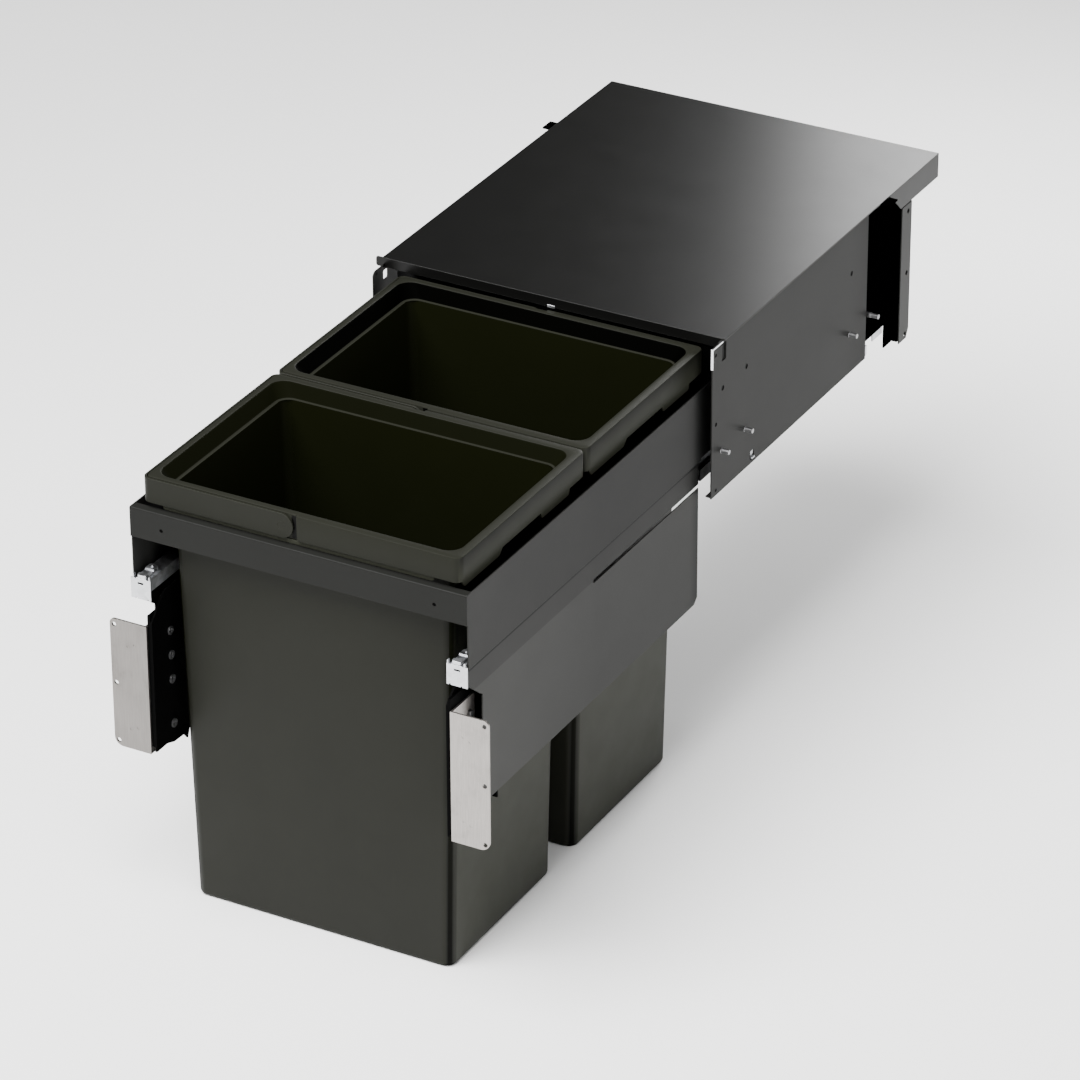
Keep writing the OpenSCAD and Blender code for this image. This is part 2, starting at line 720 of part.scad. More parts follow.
module bin() {
  color(plastic) difference() {
    union() {
      hull() {
        body_slab(ledge_z - 0.1, 0, 0, 0);
        body_slab(bin_z, taper_x, taper_y, 0);
      }
      translate([0, 0, rim_z - rim_t]) linear_extrude(rim_t) union() {
        recessed_rim(0);
        full_rim(0);
      }
      translate([0, 0, skirt_z]) linear_extrude(skirt_h) difference() {
        union() {
          recessed_rim(0);
          full_rim(0);
        }
        recessed_rim(2);
      }
      hull() {
        mouth_slab(ledge_z - bin_t, 0, bin_t);
        mouth_slab(rim_z - 1, 1, bin_t);
      }
      // Lip below the front skirt
      intersection() {
        translate([0, 0, lip_z]) linear_extrude(skirt_z - lip_z + 1) difference() {
          recessed_rim(0);
          recessed_rim(2);
        }
        xz_bar(0, 8) round_rect(-mouth_x + 3, lip_z, mouth_x - 10, skirt_z + 20, 3);
      }
      // Feet of the skirt, low along the right side
      intersection() {
        translate([0, 0, -1]) linear_extrude(skirt_z + 2) difference() {
          full_rim(0);
          recessed_rim(2);
        }
        yz_plate(rim_x - 8, rim_x + 1) {
          polygon([[8, 0.5], [70, 0.5], [76, skirt_z + 1], [4, skirt_z + 1]]);
          polygon([[146, 0.5], [196, 0.5], [197, skirt_z + 1], [144, skirt_z + 1]]);
        }
      }
      for (y = [0.2, bin_len - recess - e]) y_rod(y, y + recess - 0.2 + e, pivot_x, pivot_z, pivot_d);
    }
    hull() {
      body_slab(ledge_z, 0, 0, bin_t);
      body_slab(bin_z + bin_t, taper_x, taper_y, bin_t);
    }
    hull() {
      mouth_slab(ledge_z, 0, 0);
      mouth_slab(rim_z - 0.05, 1, 0);
    }
  }
}

// Place of a bin's rim, counted from the front
module at_bin(k) {
  on_slider() translate([0, first_gap + k * bin_pitch, 0]) children();
}

module bin_front() at_bin(0) bin();
module bin_rear() at_bin(1) bin();

// Strap that lies round the left half of the rim and turns up on its two pivots
module bin_handle() {
  z1 = rim_z - 1;
  color(plastic) difference() {
    intersection() {
      translate([0, 0, z1 - strap_h]) linear_extrude(strap_h) difference() {
        round_rect(-rim_x, 0, rim_x, bin_len, rim_r);
        round_rect(-rim_x + strap_t, strap_t, rim_x - strap_t, bin_len - strap_t, rim_r - strap_t);
      }
      xz_bar(-1, bin_len + 1) union() {
        translate([-rim_x - 1, z1 - strap_h]) square([rim_x + 1 + pivot_x, strap_h]);
        translate([pivot_x, pivot_z]) circle(d = strap_h);
      }
    }
    y_rod(-1, strap_t + 1, pivot_x, pivot_z, pivot_d + 2 * pivot_fit);
    y_rod(bin_len - strap_t - 1, bin_len + 1, pivot_x, pivot_z, pivot_d + 2 * pivot_fit);
  }
}

module bin_handle_front() at_bin(0) bin_handle();
module bin_handle_rear() at_bin(1) bin_handle();

top_cover();
cover_stiffener();
cover_clip();
edge_clip();
housing_side_left();
housing_side_right();
rear_channel_left();
rear_channel_right();
mount_plate_left();
mount_plate_right();
cabinet_pegs();
cabinet_rail_left();
cabinet_rail_right();
front_rail();
front_rail_rivets();
frame_side_left();
frame_side_right();
rear_rail();
bin_carrier_left();
bin_carrier_right();
drawer_rail_left();
drawer_rail_right();
runner_front_left();
runner_front_right();
release_lever_left();
release_lever_right();
door_bracket_left();
door_bracket_right();
door_bracket_screws();
door_plate_left();
door_plate_right();
middle_runner_left();
middle_runner_right();
lower_cage_left();
lower_cage_right();
upper_cage_left();
upper_cage_right();
lower_balls_left();
lower_balls_right();
upper_balls_left();
upper_balls_right();
bin_front();
bin_rear();
bin_handle_front();
bin_handle_rear();
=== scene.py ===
"""Looks of a pull-out frame with two waste bins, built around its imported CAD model."""

import json
import math

import bmesh
import bpy
from bpy.props import FloatProperty, FloatVectorProperty, IntProperty, PointerProperty
from mathutils import Matrix, Vector


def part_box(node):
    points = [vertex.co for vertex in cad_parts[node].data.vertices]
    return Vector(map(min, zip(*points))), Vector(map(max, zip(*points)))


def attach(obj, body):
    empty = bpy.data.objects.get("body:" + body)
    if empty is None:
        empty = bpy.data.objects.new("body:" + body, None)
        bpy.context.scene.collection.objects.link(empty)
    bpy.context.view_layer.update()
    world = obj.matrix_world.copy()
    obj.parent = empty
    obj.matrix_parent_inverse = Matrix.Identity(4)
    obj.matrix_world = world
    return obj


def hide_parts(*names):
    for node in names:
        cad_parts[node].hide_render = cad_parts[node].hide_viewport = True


bl_info = {
    "name": "Pull-out bin frame",
    "version": (1, 0, 0),
    "blender": (4, 5, 0),
    "location": "View3D > Sidebar > Bin Frame",
    "description": "Bins, finishes and studio for a pull-out frame with two waste bins",
    "category": "Object",
}

MM = 0.001
SIDES = ("left", "right")

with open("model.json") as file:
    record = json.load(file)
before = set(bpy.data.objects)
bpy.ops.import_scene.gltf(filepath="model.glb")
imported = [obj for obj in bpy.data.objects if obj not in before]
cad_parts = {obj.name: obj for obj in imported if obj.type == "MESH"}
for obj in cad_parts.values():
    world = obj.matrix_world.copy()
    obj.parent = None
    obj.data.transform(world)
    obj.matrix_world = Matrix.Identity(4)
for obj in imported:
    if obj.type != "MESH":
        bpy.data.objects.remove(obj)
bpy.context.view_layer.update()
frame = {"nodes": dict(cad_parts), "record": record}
BODY_OF = {node: body for body, nodes in frame["record"]["behaviour"]["bodies"].items()
           for node in nodes}
SLOT_OF = {part["node"]: part["material_slot"] for part in frame["record"]["subparts"]}

# Names of the point attributes that the plastic reads: painted shade and painted light
SHADE, PAINTED_LIGHT = "shade", "lift"

# How far the middle point of a rounded edge lies from its two faces, as a share of the radius
ROUND = 0.29
# Small chamfer on the cut edges of the skirts and the ledge
CHAMFER = 0.3 * MM

# Painted shade in the blind holes of the housing sides, as dark dots: Y, Z and diameter in
# millimetres
HOLE_SHADE_DOTS = ((6.2, 146.3, 3.6), (8, 74.5, 4.2), (9.2, 5.5, 3.6), (21, 106.6, 5.2),
              (69.1, 107.3, 5.2), (290.8, 106.8, 5.2))
# Painted shade in the depth of the slot behind the white clip, as dots in the same way
SLOT_SHADE_DOTS = ((22.75, 139.2, 8.2), (22.75, 143.8, 8.4), (22.75, 148.4, 8.2))

# Soft lights: name, place, aim, size and power
MIDDLE = (0, 0, -0.05)
LIGHTS = (
    ("top_light", (-0.5, -1.7, 3.1), MIDDLE, (3.0, 3.0), 560),
    ("right_light", (3.0, -0.9, 0.7), MIDDLE, (1.6, 1.2), 62),
    ("sheen_light", (-0.10, 1.485, 0.735), (0.407, 0.565, 0.156), (0.56, 0.60), 20),
)

# The camera's place and its right, up and backward directions
CAMERA_PLACE = (2.2335, -4.0591, 2.4626)
CAMERA_AXES = ((0.87702, 0.48045, -0.00376), (-0.22892, 0.42471, 0.87591),
               (0.4224, -0.7673, 0.4825))


# Settings

def length(name, description, default):
    """A size in metres that the sidebar shows as a length."""
    return FloatProperty(name=name, description=description, default=default, unit="LENGTH",
                         precision=5)


def colour(name, description, default):
    """A colour that the sidebar shows as a swatch."""
    return FloatVectorProperty(name=name, description=description, default=default, subtype="COLOR",
                               size=3, min=0, max=1)


def share(name, description, default):
    """A share from none to all that the sidebar shows as a slider."""
    return FloatProperty(name=name, description=description, default=default, min=0, max=1,
                         subtype="FACTOR")


class BinSizes(bpy.types.PropertyGroup):
    wall: length("Wall", "Thickness of a bin's wall", 2.5 * MM)
    rim_plate: length("Rim plate", "Thickness of the rim plate", 2.4 * MM)
    skirt: length("Skirt", "Height of the skirt round the rim", 24.4 * MM)
    skirt_wall: length("Skirt wall", "Thickness of the skirt", 2 * MM)
    band: length("Band", "Depth of the smooth band inside the mouth", 14.4 * MM)
    front_recess: length("Front recess", "How far the rim steps back beside the strap, each end",
                         2.3 * MM)
    side_recess: length("Side recess", "How far the rim steps back beside the strap, at the side",
                        2.9 * MM)
    rim_radius: length("Rim radius", "Radius of the rim's corners", 7.5 * MM)
    mouth_radius: length("Mouth radius", "Radius of the mouth's corners", 14 * MM)
    body_radius: length("Body radius", "Radius of the body's upright corners", 10.5 * MM)
    foot_radius: length("Foot radius", "Rounding along the bottom edge", 3.5 * MM)
    edge: length("Edge", "Rounding of the rim's edges", 1.6 * MM)
    mouth_inset: length("Mouth inset", "From the rim's side edge to the mouth's ledge", 17 * MM)
    mouth_end: length("Mouth ends", "From the rim's end edge to the mouth's ledge", 15 * MM)
    flare_side: length("Side flare", "How much wider the mouth is at the top, each side", 8 * MM)
    flare_end: length("End flare", "How much longer the mouth is at the top, each end", 5.6 * MM)
    body_front: length("Body front", "From the rim's front edge to the body", 18.3 * MM)
    body_back: length("Body back", "From the rim's rear edge to the body", 14 * MM)
    taper_side: length("Side taper", "How much narrower the body is at the bottom, each side",
                       9.5 * MM)
    taper_end: length("End taper", "How much shorter the body is at the bottom, each end", 3.6 * MM)
    lip_drop: length("Lip drop", "How far the front lip hangs below the skirt", 5 * MM)


class EdgeSizes(bpy.types.PropertyGroup):
    sheet: length("Sheet edge", "Rounding of cut sheet edges", 0.22 * MM)
    fold: length("Fold edge", "Rounding of folded sheet edges", 0.55 * MM)
    strap: length("Strap edge", "Rounding of the handle straps", 0.6 * MM)
    steps: IntProperty(name="Steps", description="Segments of each rounding", default=2, min=1,
                       max=4)


class Finishes(bpy.types.PropertyGroup):
    cover: colour("Cover", "Black coat of the top cover", (0.003, 0.003, 0.0028))
    sheet: colour("Sheet", "Dark grey coat of the frame and housing sides", (0.042, 0.042, 0.040))
    # Painted shade: the front rail's coat is a darker copy of the sheet's, as its front face gets
    # less light
    front_rail: colour("Front rail", "Coat of the front rail", (0.0095, 0.0097, 0.0088))
    black: colour("Black parts", "Coat of the channels, brackets, rear rail and bin carriers",
                  (0.0006, 0.0006, 0.0006))
    zinc: colour("Galvanised", "Zinc of the runners and rails", (0.60, 0.61, 0.63))
    nickel: colour("Door plates", "Plating of the door plates", (0.31, 0.292, 0.276))
    steel: colour("Screws", "Bright screws and balls", (0.72, 0.72, 0.73))
    plastic: colour("Bins", "Moulded plastic of bins and straps", (0.0102, 0.0106, 0.0078))
    # The insides and the mouth bands are darker copies of the bin plastic: painted shade
    inside: colour("Bin insides", "Smooth plastic inside the bins", (0.0030, 0.0036, 0.0006))
    mouth: colour("Bin mouths", "Smooth band inside the mouths", (0.0030, 0.0034, 0.0014))
    cage: colour("Cages", "Plastic of the ball cages", (0.10, 0.10, 0.10))
    clip: colour("Clip", "White plastic clip", (0.84, 0.84, 0.86))
    coat_roughness: share("Coat roughness", "Roughness of the powder coat", 0.40)
    plastic_roughness: share("Plastic roughness", "Roughness of the moulded plastic", 0.46)


class Studio(bpy.types.PropertyGroup):
    floor: colour("Floor", "Colour of the floor", (0.96, 0.96, 0.955))
    sky: FloatProperty(name="Sky", description="Strength of the even light", default=0.1, min=0)
    lens: FloatProperty(name="Lens", description="Focal length of the camera", default=186.6, min=1,
                        unit="CAMERA")


# Shader helpers

class Shader:
    """A material whose nodes are added and linked by short calls. Place is the point on the piece
    in Object coordinates, in metres."""

    def __init__(self, name):
        self.material = bpy.data.materials.new(name)
        self.material.use_nodes = True
        self.tree = self.material.node_tree
        self.surface = self.tree.nodes["Principled BSDF"]
        self.place = self.add("ShaderNodeTexCoord").outputs["Object"]

    def add(self, kind, inputs=None, **settings):
        node = self.tree.nodes.new(kind)
        for key, value in settings.items():
            setattr(node, key, value)
        for key, value in (inputs or {}).items():
            self.feed(node.inputs[key], value)
        return node

    def feed(self, socket, value):
        if isinstance(value, bpy.types.NodeSocket):
            self.tree.links.new(value, socket)
        else:
            socket.default_value = value

    def set(self, **values):
        for key, value in values.items():
            self.feed(self.surface.inputs[key.replace("_", " ")], value)

    def stretched(self, scale):
        """The place, scaled apart along each axis, which draws a pattern out."""
        return self.add("ShaderNodeMapping", {"Vector": self.place,
                                              "Scale": scale}).outputs["Vector"]

    def noise(self, scale, detail=3.0, rough=0.55, vector=None):
        return self.add("ShaderNodeTexNoise", {"Vector": vector or self.place, "Scale": scale,
                                               "Detail": detail, "Roughness": rough}).outputs["Fac"]

    def spread(self, value, low, high, start=0.3, end=0.7):
        """Value from start to end, spread from low to high."""
        return self.add("ShaderNodeMapRange", {"Value": value, "From Min": start, "From Max": end,
                                               "To Min": low, "To Max": high}).outputs["Result"]

    def maths(self, operation, a, b):
        return self.add("ShaderNodeMath", {0: a, 1: b}, operation=operation).outputs[0]

    def mix(self, factor, a, b):
        node = self.add("ShaderNodeMix", data_type="RGBA")
        self.feed(node.inputs[0], factor)
        for socket, value in ((node.inputs[6], a), (node.inputs[7], b)):
            self.feed(socket, value if isinstance(value, bpy.types.NodeSocket) else (*value, 1))
        return node.outputs[2]

    def darker(self, tone, factor):
        return self.mix(1 - factor, tone, (0, 0, 0))

    def marked(self, attribute):
        """A point attribute of the piece."""
        return self.add("ShaderNodeAttribute", attribute_name=attribute).outputs["Fac"]

    def bump(self, height, depth, strength):
        return self.add("ShaderNodeBump", {"Height": height, "Distance": depth,
                                           "Strength": strength}).outputs["Normal"]

    def vector(self, operation, a, b):
        return self.add("ShaderNodeVectorMath", {0: a, 1: b}, operation=operation).outputs

    def axes(self):
        """Sockets of the place along X, Y and Z."""
        return self.add("ShaderNodeSeparateXYZ", {0: self.place}).outputs

    def dots(self, marks):
        """One inside round dots that show on upright faces, each given as Y, Z and diameter."""
        flat = self.vector("MULTIPLY", self.place, (0, 1, 1))[0]
        total = 0.0
        for y, z, across in marks:
            away = self.vector("DISTANCE", flat, (0, y, z))["Value"]
            total = self.maths("MAXIMUM", self.maths("LESS_THAN", away, across / 2), total)
        return total

    def band(self, low, high, soft):
        """One between two heights, fading out over a soft edge below."""
        z = self.axes()["Z"]
        return self.maths("MULTIPLY", self.spread(z, 0.0, 1.0, low - soft, low),
                          self.spread(z, 1.0, 0.0, high, high + 0.2 * MM))

    def edge_mask(self, radius):
        """Near one on edges that stand out, where the coats wear and where the finishes get a
        painted highlight.
        """
        rounded = self.add("ShaderNodeBevel", {"Radius": radius}, samples=4).outputs["Normal"]
        flat = self.add("ShaderNodeNewGeometry").outputs["Normal"]
        return self.spread(self.vector("DOT_PRODUCT", rounded, flat)["Value"], 1.0, 0.0, 0.80, 0.99)


def tint(base, factor):
    """A colour made lighter or darker by a factor."""
    return tuple(min(1.0, part * factor) for part in base)


def powder_coat(name, base, roughness, gloss=0.5, edge=3.2, marks=(), shade_seams=(), fades=()):
    """Satin powder coat with a fine orange peel, faint cloudiness and slightly paler edges, partly
    wear and partly a painted highlight. Edge is how much paler the edges are. Marks are dark round
    dots of painted shade at a Y, a Z and a diameter. A seam is a height, the factor by which the
    coat is painted darker above it as shade and that of the thin painted shadow line just below it.
    A fade is a start and an end along Y and the factor by which the coat darkens between them, as
    painted shade."""
    s = Shader(name)
    cloud = s.noise(9.0, 3.0)
    tone = s.mix(s.spread(cloud, 0.0, 1.0), tint(base, 0.95), tint(base, 1.05))
    # Painted shade: the coat darkens along Y
    for start, end, factor in fades:
        tone = s.mix(s.spread(s.axes()["Y"], 0.0, 1.0, start, end), tone, s.darker(tone, factor))
    specks = s.noise(620.0, 4.0, 0.7)
    tone = s.mix(s.spread(specks, 0.0, 0.35, 0.60, 0.78), tone, tint(base, 2.2))
    # Paler edges: partly wear, partly a painted highlight
    tone = s.mix(s.maths("MULTIPLY", s.edge_mask(0.5 * MM), 0.35), tone, tint(base, edge))
    # Painted shade: dark dots in the blind holes and in the slot's depth
    if marks:
        tone = s.mix(s.dots(marks), tone, tint(base, 0.08))
    # Painted shade above each seam's height, and a thin painted shadow line just below it
    for height, above, line in shade_seams:
        past = s.spread(s.axes()["Z"], 0.0, 1.0, height, height + 1 * MM)
        tone = s.mix(past, tone, s.darker(tone, above))
        crease_shadow = s.band(height - 4.8 * MM, height - 1.4 * MM, 0.6 * MM)
        tone = s.mix(crease_shadow, tone, s.darker(tone, line))
    smudge = s.noise(26.0, 5.0, 0.6)
    peel = s.noise(1300.0, 2.0)
    s.set(Base_Color=tone, Roughness=s.spread(smudge, roughness - 0.012, roughness + 0.015),
          Specular_IOR_Level=gloss, Normal=s.bump(peel, 0.04 * MM, 0.35))
    return s.material


def moulded(name, base, roughness, grain=0.05 * MM, gloss=0.5, ledge=None):
    """Moulded plastic: fine spark-eroded grain, soft flow clouds and a few light scuffs, with
    painted shade and painted light where the points are marked for them and a painted highlight on
    the edges. Grain is the depth of the grain. A ledge is the height and colour of a thin painted
    highlight along the ledge."""
    s = Shader(name)
    flow = s.noise(5.0, 4.0, 0.6, s.stretched((1.0, 1.0, 0.35)))
    tone = s.mix(s.spread(flow, 0.0, 1.0), tint(base, 0.94), tint(base, 1.08))
    scuff = s.noise(60.0, 7.0, 0.75, s.stretched((1.0, 1.0, 0.25)))
    scuffs = s.spread(scuff, 0.0, 0.20, 0.62, 0.80)
    tone = s.mix(scuffs, tone, tint(base, 2.0))
    # Painted shade where the points are marked for it
    tone = s.mix(s.marked(SHADE), tone, tint(base, 0.06))
    # Painted highlight along the edges
    tone = s.mix(s.maths("MULTIPLY", s.edge_mask(1.2 * MM), 0.6), tone, tint(base, 2.0))
    # Painted light where the points are marked for it
    tone = s.mix(s.marked(PAINTED_LIGHT), tone, tint(base, 2.6))
    # Painted highlight: a thin light band at the ledge's height
    if ledge:
        height, line = ledge
        tone = s.mix(s.band(height - 0.4 * MM, height + 0.9 * MM, 0.3 * MM), tone, line)
    sheen = s.noise(30.0, 4.0)
    pores = s.noise(1500.0, 3.0, 0.6)
    s.set(Base_Color=tone, Roughness=s.spread(sheen, roughness - 0.02, roughness + 0.03),
          Specular_IOR_Level=gloss, Normal=s.bump(pores, grain, 0.5))
    return s.material


def galvanised(name, base, shaded_before=None):
    """Zinc with its spangle, faint rolling lines and a dull sheen. The last argument is a start and
    an
    end along Y: in front of the start the zinc is painted almost black as shade, which clears
    between the two."""
    s = Shader(name)
    cells = s.add("ShaderNodeTexVoronoi", {"Vector": s.place, "Scale": 210.0}).outputs["Color"]
    spangle = s.add("ShaderNodeSeparateColor", {"Color": cells}).outputs[0]
    tone = s.mix(spangle, tint(base, 0.84), tint(base, 1.12))
    lines = s.noise(40.0, 4.0, 0.6, s.stretched((30.0, 1.0, 30.0)))
    tone = s.mix(s.spread(lines, 0.0, 0.4), tone, tint(base, 0.72))
    grime = s.noise(45.0, 6.0, 0.7)
    tone = s.mix(s.spread(grime, 0.0, 0.5, 0.55, 0.85), tone, tint(base, 0.45))
    # Painted shade in front of the given span
    if shaded_before:
        tone = s.mix(s.spread(s.axes()["Y"], 1.0, 0.0, *shaded_before), tone, tint(base, 0.05))
    s.set(Base_Color=tone, Metallic=1.0, Roughness=s.spread(spangle, 0.30, 0.48, 0.0, 1.0),
          Normal=s.bump(lines, 0.03 * MM, 0.4))
    return s.material


def nickel_plate(name, base):
    """Dull plated steel with fine upright rolling lines and soft handling marks."""
    s = Shader(name)
    lines = s.noise(60.0, 5.0, 0.6, s.stretched((22.0, 22.0, 1.0)))
    tone = s.mix(s.spread(lines, 0.0, 1.0), tint(base, 0.90), tint(base, 1.10))
    marks = s.noise(34.0, 6.0, 0.7)
    tone = s.mix(s.spread(marks, 0.0, 0.45, 0.55, 0.80), tone, tint(base, 0.62))
    s.set(Base_Color=tone, Metallic=1.0, Roughness=s.spread(marks, 0.34, 0.50),
          Normal=s.bump(lines, 0.03 * MM, 0.4))
    return s.material


def bright_steel(name, base, roughness):
    """Turned steel of screws and balls."""
    s = Shader(name)
    marks = s.noise(420.0, 4.0, 0.6)
    tone = s.mix(s.spread(marks, 0.0, 1.0), tint(base, 0.85), tint(base, 1.08))
    s.set(Base_Color=tone, Metallic=1.0,
          Roughness=s.spread(marks, roughness - 0.05, roughness + 0.08),
          Normal=s.bump(marks, 0.01 * MM, 0.3))
    return s.material


def finish_of(node):
    """The material for a CAD node: its own or its family's where the table has one, and else its
    slot's. Each is made once."""
    look = bpy.context.scene.bin_frame_finishes
    rough = look.coat_roughness
    # Dots of painted shade in the housing sides' holes and slot
    dots = [tuple(size * MM for size in mark) for mark in HOLE_SHADE_DOTS + SLOT_SHADE_DOTS]
    makers = {
        # Slots of the record
        # The cover's edges get a strong painted highlight
        "black_sheet": lambda name: powder_coat(name, look.cover, rough - 0.06, gloss=0.15,
                                                edge=60.0),
        "dark_sheet": lambda name: powder_coat(name, look.sheet, rough, gloss=0.42),
        "black_steel": lambda name: powder_coat(name, look.black, rough + 0.2, gloss=0.02),
        "black_rivets": lambda name: powder_coat(name, look.black, rough + 0.2, gloss=0.02),
        "galvanised_steel": lambda name: galvanised(name, look.zinc),
        "nickel_steel": lambda name: nickel_plate(name, look.nickel),
        "screw_steel": lambda name: bright_steel(name, look.steel, 0.28),
        "ball_steel": lambda name: bright_steel(name, look.steel, 0.12),
        "bin_plastic": lambda name: moulded(name, look.plastic, look.plastic_roughness,
                                            gloss=0.07),
        "cage_plastic": lambda name: moulded(name, look.cage, 0.5),
        "clip_plastic": lambda name: moulded(name, look.clip, 0.42, grain=0.02 * MM),
        # Nodes and families whose tone differs from their slot's. The housing sides, frame sides,
        # mount plates and front rail wear copies of the sheet's one coat, each darkened to how much
        # light it
        # gets: painted shade.
        # The housing sides darken towards the rear channel: painted shade
        "housing_side": lambda name: powder_coat(
            name, tint(look.sheet, 0.36), rough, gloss=0.04, edge=2.0, marks=dots,
            fades=((285 * MM, 345 * MM, 0.35),)),
        # The frame sides: painted shade above the seams, a painted shadow line under the upper
        # strip's edge, and painted shade towards the rear and where they go into the housing
        "frame_side": lambda name: powder_coat(
            name, tint(look.sheet, 0.84), rough, gloss=0.04, edge=2.0,
            shade_seams=((12.9 * MM, 0.60, 1.0), (40.6 * MM, 0.80, 0.05)),
            fades=((-430 * MM, -200 * MM, 0.62), (-20 * MM, 0.0, 0.10))),
        "mount_plate": lambda name: powder_coat(name, tint(look.sheet, 0.55), rough, gloss=0.08,
                                                edge=2.0),
        "front_rail": lambda name: powder_coat(name, look.front_rail, rough, gloss=0.06),
        # Painted shade: the rear rail and bin carriers wear the black coat in place of their
        # slot's, and the rear channel half of it with no gloss, so that they read as the shade they
        # lie in
        "rear_rail": lambda name: powder_coat(name, look.black, rough, gloss=0.1),
        "bin_carrier": lambda name: powder_coat(name, look.black, rough, gloss=0.1),
        "rear_channel": lambda name: powder_coat(name, tint(look.black, 0.5), 0.8, gloss=0.0),
        # Painted shade: the middle runners' zinc is darkened nearly to black, for the shade they
        # run in
        "middle_runner": lambda name: galvanised(name, tint(look.zinc, 0.12)),
        # Painted shade: the cabinet rails are almost black at the front
        "cabinet_rail": lambda name: galvanised(name, look.zinc,
                                                shaded_before=(30 * MM, 36 * MM)),
        # Painted shade: the left door plate is a darker copy of the plating
        "door_plate_left": lambda name: nickel_plate(name, tint(look.nickel, 0.62)),
        "door_bracket_screws": lambda name: bright_steel(name, tint(look.steel, 0.22), 0.35),
        "cabinet_pegs": lambda name: bright_steel(name, tint(look.steel, 0.45), 0.4),
    }
    family = node.replace("_left", "").replace("_right", "")
    for key in (node, family, SLOT_OF[node]):
        if key in makers:
            name = key + "_finish"
            return bpy.data.materials.get(name) or makers[key](name)
    raise ValueError("no finish for " + node)


# Mesh helpers

def make_piece(bm, name, node, sharp=35):
    """Turns a finished bmesh into a piece that rides with a CAD node and wears its finish."""
    mesh = bpy.data.meshes.new(name)
    bm.to_mesh(mesh)
    bm.free()
    mesh.shade_smooth()
    mesh.set_sharp_from_angle(angle=math.radians(sharp))
    piece = bpy.data.objects.new(name, mesh)
    bpy.context.scene.collection.objects.link(piece)
    mesh.materials.append(finish_of(node))
    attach(piece, BODY_OF[node])
    return piece


def round_edges(piece, width, steps):
    """Rounds the sharp edges with a modifier, and keeps the flat faces flat in their shading."""
    bevel = piece.modifiers.new("edges", "BEVEL")
    bevel.width = width
    bevel.segments = steps
    bevel.limit_method = "ANGLE"
    bevel.angle_limit = math.radians(32)
    bevel.use_clamp_overlap = True
    flat = piece.modifiers.new("flat_faces", "WEIGHTED_NORMAL")
    flat.mode = "FACE_AREA"
    flat.weight = 100
    flat.keep_sharp = True


def edged_copy(node, width):
    """A merged copy of a CAD node with softly rounded edges, which stands for the node."""
    bm = bmesh.new()
    bm.from_mesh(frame["nodes"][node].data)
    bmesh.ops.remove_doubles(bm, verts=bm.verts, dist=1e-6)
    bmesh.ops.dissolve_limit(bm, angle_limit=math.radians(0.6), verts=bm.verts, edges=bm.edges)
    piece = make_piece(bm, node + "_edged", node)
    round_edges(piece, width, bpy.context.scene.bin_frame_edges.steps)
    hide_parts(node)


def edged_pairs(parts, width):
    """Edged copies of the left and the right node of each part."""
    for side in SIDES:
        for part in parts:
            edged_copy(f"{part}_{side}", width)


def dress(node):
    """Gives a CAD node its finish and leaves its shape as it is."""
    mesh = frame["nodes"][node].data
    mesh.materials.clear()
    mesh.materials.append(finish_of(node))


def round_corners(bm, corners, radius, steps):
    """Rounds corners of a flat outline."""
    bmesh.ops.bevel(bm, geom=corners, offset=radius, offset_type="OFFSET", segments=steps,
                    profile=0.5, affect="VERTICES", material=-1)


def ring(bm, left, right, front, back, z, radius, keep_face):
    """Edge loop of a rectangle with round corners, at one height."""
    before = set(bm.faces)
    corners = [bm.verts.new((x, y, z)) for x, y in
               ((left, front), (right, front), (right, back), (left, back))]
    bm.faces.new(corners)
    round_corners(bm, corners, radius, 8)
    face = (set(bm.faces) - before).pop()
    edges = list(face.edges)
    if not keep_face:
        bmesh.ops.delete(bm, geom=[face], context="FACES_ONLY")
    return edges


def loft(bm, sections, capped=True):
    """Skin through rings, each given as left, right, front, back, height and radius.
    They are bridged a metre apart and then moved to their heights, so that level rings pair up."""
    last = len(sections) - 1
    rings = [ring(bm, *section[:4], n, section[5], keep_face=capped and n in (0, last))
             for n, section in enumerate(sections)]
    for one, two in zip(rings, rings[1:]):
        bmesh.ops.bridge_loops(bm, edges=one + two)
    if not capped:
        bmesh.ops.bridge_loops(bm, edges=rings[-1] + rings[0])
    for n, (edges, section) in enumerate(zip(rings, sections)):
        verts = {v for edge in edges for v in edge.verts}
        bmesh.ops.translate(bm, vec=(0, 0, section[4] - n), verts=list(verts))


def plate(bm, points, direction, rounded=(), radius=0.0):
    """Flat plate: an outline whose named corners are rounded, extruded along a direction."""
    before = set(bm.faces)
    verts = [bm.verts.new(p) for p in points]
    bm.faces.new(verts)
    if rounded:
        round_corners(bm, [verts[n] for n in rounded], radius, 5)
    face = (set(bm.faces) - before).pop()
    made = bmesh.ops.extrude_face_region(bm, geom=[face], use_keep_orig=True)["geom"]
    bmesh.ops.translate(bm, vec=direction,
                        verts=[v for v in made if isinstance(v, bmesh.types.BMVert)])


def pin(bm, start, along_y, diameter):
    """Short round pin along Y."""
    turn = Matrix.Rotation(math.radians(90), 4, "X")
    place = Matrix.Translation(Vector(start) + Vector((0, along_y / 2, 0))) @ turn
    bmesh.ops.create_cone(bm, cap_ends=True, cap_tris=False, segments=32, radius1=diameter / 2,
                          radius2=diameter / 2, depth=abs(along_y), matrix=place)


